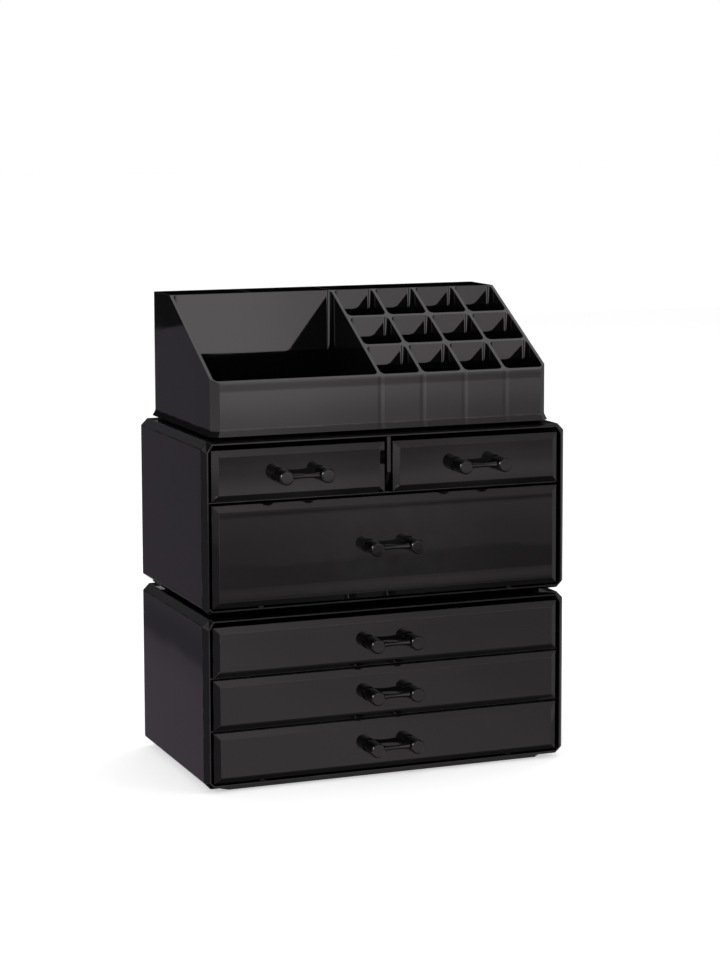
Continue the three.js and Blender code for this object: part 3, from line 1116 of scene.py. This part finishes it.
@dataclass
class DrawerUnit:
    """A drawer with its handle and its two screws. Lengths are in millimetres.

    Args:
        name: the drawer's name, which is its body's name too.
        dish: how its face has sunk and been dulled.
        panel_depth: from the front of its face to the back of its panel.
        bevel_width: width of the bevel round its face.
        box_turn: least turn of a rim's edge, in degrees.
        rim_depth: how far under the drawer's top a rim's edge may lie.
    """

    name: str
    dish: Dish = SHALLOW_DISH
    panel_depth: float = 4.0
    bevel_width: float = 4.0
    panel_radius: float = 0.25
    crease_radius: float = 0.08
    box_radius: float = 0.4
    box_turn: float = 60.0
    rim_depth: float = 2.5

    def build(self) -> None:
        """Builds the drawer, its handle and its screws."""
        self.moulding().build()
        Handle(self.name).build()
        for side in ("left", "right"):
            Screw(self.name, side).build()

    def moulding(self) -> Moulding:
        """Describes the drawer.

        Returns:
            The drawer's moulding.
        """
        low, high = corners(self.name)
        back = low.y + self.panel_depth

        def inset(middle: Vector) -> float:
            """Returns how far inside the front's outline an edge lies."""
            return min(middle.x - low.x, high.x - middle.x, middle.z - low.z, high.z - middle.z)

        def on_crease(middle: Vector) -> bool:
            """Tells whether an edge is a crease round the face."""
            return middle.y < low.y + NEAR and inset(middle) < self.bevel_width + NEAR

        def on_panel(middle: Vector) -> bool:
            """Tells whether an edge belongs to the outside of the front panel, behind its face."""
            return low.y + 2 * NEAR < middle.y < back - NEAR and inset(middle) < self.bevel_width

        def on_rim(middle: Vector) -> bool:
            """Tells whether an edge belongs to the rim of the box."""
            return middle.y > back + NEAR and middle.z > high.z - self.rim_depth

        roundings = [
            (self.crease_radius, CORNER_TURN, on_crease),
            (self.panel_radius, CORNER_TURN, on_panel),
            (self.box_radius, self.box_turn, on_rim),
        ]
        bevel = Vector((self.bevel_width, 0.0, self.bevel_width))
        face = {"low": (low + bevel) * MM, "high": (high - bevel) * MM}
        finish = DishedPlastic("Plastic of " + self.name, dish=self.dish, **face)
        return Moulding(self.name, self.name, Slot.DRAWER, finish, roundings)


@dataclass
class Tray:
    """The open tray on top, with its sloped grid of cells. Lengths are in millimetres.

    Args:
        skirt_height: height of the fold over its skirt.
    """

    radius: float = 0.5
    skirt_height: float = 5.4
    crease: float = 40.0

    def build(self) -> None:
        """Builds the tray, with a fillet in the fold over its skirt."""
        name = Body.TRAY.value
        fold_z = corners(name)[0].z + self.skirt_height

        def on_fold(middle: Vector) -> bool:
            """Tells whether an edge lies on the fold over the skirt."""
            return abs(middle.z - fold_z) < NEAR

        roundings = [(self.radius, CORNER_TURN, everywhere)]
        Moulding(name, name, Slot.TRAY, TRAY_PLASTIC, roundings, self.crease, on_fold).build()


# Studio


@dataclass
class Sheet:
    """A flat sheet of the studio between two opposite corners, with no size along one axis. In metres.

    Args:
        seen: whether more than reflections see it.
    """

    name: str
    low: Triple
    high: Triple
    finish: Finish
    seen: bool = False

    def build(self) -> None:
        """Builds the sheet from a grid that is laid in its plane."""
        low, high = Vector(self.low), Vector(self.high)
        size = high - low
        thin = min(range(3), key=lambda i: size[i])
        shape = bmesh.new()
        bmesh.ops.create_grid(shape, x_segments=1, y_segments=1, size=0.5)
        if thin < 2:
            turn = Matrix.Rotation(math.pi / 2, 3, "YX"[thin])
            bmesh.ops.rotate(shape, verts=shape.verts, cent=(0, 0, 0), matrix=turn)
        bmesh.ops.scale(shape, vec=[length or 1.0 for length in size], verts=shape.verts)
        bmesh.ops.translate(shape, vec=(low + high) / 2, verts=shape.verts)
        made = meshed(shape, self.name)
        made.data.materials.append(self.finish.material())
        for ray in ("camera", "diffuse", "shadow", "transmission"):
            setattr(made, "visible_" + ray, self.seen)


@dataclass
class Lamp:
    """A soft square lamp, with its side in metres and its power in watts."""

    name: str
    place: Triple
    size: float
    power: float
    target: Triple = (0.0, 0.0, 0.15)

    def build(self) -> None:
        """Hangs the lamp."""
        light = bpy.data.lights.new(self.name, "AREA")
        light.shape = "SQUARE"
        light.size = self.size
        light.energy = self.power
        made = linked(bpy.data.objects.new(self.name, light))
        made.location = self.place
        made.rotation_euler = (Vector(self.target) - Vector(self.place)).to_track_quat("-Z", "Y").to_euler()


FRONT_GLOW = CardFinish(
    "Front glow",
    colour=(1.03, 0.955, 0.985),
    stops=(
        (0.0, 0.52), (0.02, 0.555), (0.043, 0.68), (0.09, 1.23), (0.124, 1.62), (0.158, 2.5),
        (0.18, 2.95), (0.235, 2.95), (0.3, 1.3), (1.0, 1.2), (1.08, 0.15),
    ),
    fade=(
        (-0.4, 1.0), (-0.33, 0.12), (-0.1, 0.12), (0.06, 1.0),
        (0.19, 1.0), (0.3, 0.8), (0.4, 0.65), (0.6, 0.58),
    ),
    fade_from=(0.06, 0.1),
)
LEFT_FRONT_GLOW = CardFinish("Left front glow", (1.0, 0.97, 1.0), ((0.0, 1.3), (0.3, 0.9)))
WINDOW_GLOW = CardFinish(
    "Window glow", (1.0, 0.98, 1.0), stops=((0.45, 0.0), (0.6, 24.0), (0.84, 24.0), (1.0, 0.0))
)
# Painted shadow: this glow drops to a dark strip just in front of the object and dims where reflections look
# steeply down, standing in for the object's shadow on the floor
FRONT_FLOOR_GLOW = CardFinish(
    "Front floor glow",
    colour=(1.04, 0.955, 0.97),
    stops=(
        (-0.76, 0.52), (-0.58, 0.49), (-0.49, 1.04), (-0.4, 1.06),
        # painted shadow: the drop to 0.15 just in front of the object
        (-0.3, 1.0), (-0.0585, 1.0), (-0.0565, 0.15),
    ),
    axis="Y",
    fade=((-0.02, 1.0), (0.1, 0.86), (0.2, 0.7), (0.3, 0.64)),
    # painted shade: dims the glow where reflections look straight down near the object
    steep=0.12,
)
LEFT_FRONT_FLOOR_GLOW = CardFinish("Left front floor glow", (0.97, 0.9, 1.0), ((0.0, 0.33),))
LEFT_FLOOR_GLOW = CardFinish(
    "Left floor glow",
    colour=(0.9, 0.78, 0.95),
    stops=((-0.5, 0.14), (-0.27, 0.14), (-0.245, 0.115), (-0.232, 0.115), (-0.215, 0.19), (-0.19, 0.215)),
    axis="X",
)
LEFT_GLOW = CardFinish("Left glow", (0.97, 0.88, 1.0), ((0.0, 0.14),))
RIGHT_GLOW = CardFinish("Right glow", (1.0, 0.98, 1.0), ((0.0, 0.3),))
BACK_GLOW = CardFinish("Back glow", (0.98, 0.94, 1.0), ((0.0, 0.02), (0.8, 0.02), (1.0, 0.12)))
CEILING_GLOW = CardFinish("Ceiling glow", (0.98, 0.94, 1.0), ((0.0, 0.12),))

LAMPS = (
    Lamp("Key lamp", (-1.75, -0.95, 1.0), 0.4, 9.0),
    Lamp("Top lamp", (0.6, 0.6, 1.9), 1.4, 8.0),
    Lamp("Fill lamp", (1.7, -1.5, 1.1), 0.9, 8.0),
)

# The room's walls, in metres, and the strip that floor cards leave clear under the object

FLOOR_REACH = 12.0
ROOM = 3.0
FRONT = -0.76
BY_FRONT = -0.759
CEILING = 2.6
ON_FLOOR = 0.001
BESIDE = 0.122
UNDER_FRONT = -0.052
UNDER_HANDLES = -0.076

FLOOR = Sheet(
    "Floor",
    (-FLOOR_REACH, -FLOOR_REACH, 0.0),
    (FLOOR_REACH, FLOOR_REACH, 0.0),
    PaleFloor("Pale floor"),
    seen=True,
)
CARDS = (
    Sheet("Front card", (-2.5, FRONT, 0.0), (ROOM, FRONT, 2.0), FRONT_GLOW),
    Sheet("Left front card", (-1.15, BY_FRONT, 0.0), (-1.15, -0.25, 1.4), LEFT_FRONT_GLOW),
    Sheet("Window card", (-1.149, BY_FRONT, 0.45), (-1.149, -0.48, 1.0), WINDOW_GLOW),
    Sheet("Front floor card", (-BESIDE, FRONT, ON_FLOOR), (ROOM, UNDER_FRONT, ON_FLOOR), FRONT_FLOOR_GLOW),
    Sheet(
        "Left front floor card",
        (-ROOM, FRONT, ON_FLOOR), (-BESIDE, UNDER_FRONT, ON_FLOOR), LEFT_FRONT_FLOOR_GLOW,
    ),
    Sheet("Left floor card", (-ROOM, UNDER_FRONT, ON_FLOOR), (-BESIDE, ROOM, ON_FLOOR), LEFT_FLOOR_GLOW),
    Sheet("Right floor card", (BESIDE, UNDER_HANDLES, ON_FLOOR), (ROOM, ROOM, ON_FLOOR), RIGHT_GLOW),
    Sheet("Left card", (-ROOM, FRONT, 0.0), (-ROOM, ROOM, CEILING), LEFT_GLOW),
    Sheet("Right card", (ROOM, FRONT, 0.0), (ROOM, ROOM, CEILING), RIGHT_GLOW),
    Sheet("Back card", (-ROOM, ROOM, 0.0), (ROOM, ROOM, CEILING), BACK_GLOW),
    Sheet("Ceiling card", (-ROOM, FRONT, CEILING), (ROOM, ROOM, CEILING), CEILING_GLOW),
)


@dataclass
class Studio:
    """Pale floor, white background, soft lamps and cards that only reflections see.

    Args:
        ambient: brightness of the world as it lights the object.
    """

    ambient: float = 0.55
    floor: Sheet = field(default_factory=lambda: FLOOR)
    lamps: tuple[Lamp, ...] = LAMPS
    cards: tuple[Sheet, ...] = CARDS

    def build(self) -> None:
        """Builds the floor, the world, the lamps and the cards."""
        self.world()
        for thing in (self.floor, *self.lamps, *self.cards):
            thing.build()
        bpy.context.scene.view_settings.view_transform = "Standard"
        log.info("studio: %d lamps, %d cards", len(self.lamps), len(self.cards))

    def world(self) -> None:
        """Draws a world that is white to look at and softer as it lights the object."""
        world = bpy.data.worlds.new("Studio")
        world.use_nodes = True
        world.node_tree.nodes.clear()
        graph = Graph(world.node_tree)
        strength = graph.math("MULTIPLY_ADD", looked_at(graph), 1.0 - self.ambient, self.ambient)
        background = graph.add("Background", {"Color": WHITE, "Strength": strength})
        graph.add("OutputWorld", {"Surface": background.outputs[0]})
        bpy.context.scene.world = world


@dataclass
class ProductCamera:
    """The camera at the photograph's viewing angle, with its place in metres and its turns in degrees.

    Args:
        heading: turn to the right of straight ahead.
        dip: how far it looks down.
        lens: focal length for a 36 mm long side, in millimetres.
        shift: vertical shift, as a share of the long side.
    """

    place: Triple = (-0.5762, -1.4777, 0.4180)
    heading: float = 21.417
    dip: float = 6.435
    roll: float = -0.167
    lens: float = 94.695
    shift: float = -0.1

    def build(self) -> None:
        """Sets up the camera."""
        data = bpy.data.cameras.new("Product camera")
        data.lens = self.lens
        data.shift_y = self.shift
        camera = linked(bpy.data.objects.new("Product camera", data))
        stance = Matrix.Translation(self.place)
        for angle, axis in ((-self.heading, "Z"), (90.0 - self.dip, "X"), (self.roll, "Z")):
            stance @= Matrix.Rotation(math.radians(angle), 4, axis)
        camera.matrix_world = stance
        bpy.context.scene.camera = camera


def main() -> None:
    """Builds the organizer, the studio and the camera."""
    logging.basicConfig(level=logging.INFO, format="%(message)s")
    CaseModule(Body.LOWER_CASE, ("shelf_1", "shelf_2")).build()
    CaseModule(Body.UPPER_CASE, ("shelf", "divider"), UPPER_CASE_PLASTIC).build()
    for number in (1, 2, 3):
        DrawerUnit(f"lower_drawer_{number}").build()
    DrawerUnit("upper_drawer_wide", DEEP_DISH).build()
    for side in ("left", "right"):
        DrawerUnit(f"upper_drawer_{side}", SMALL_DISH).build()
    Tray().build()
    Studio().build()
    ProductCamera().build()


if __name__ == "__main__":
    main()
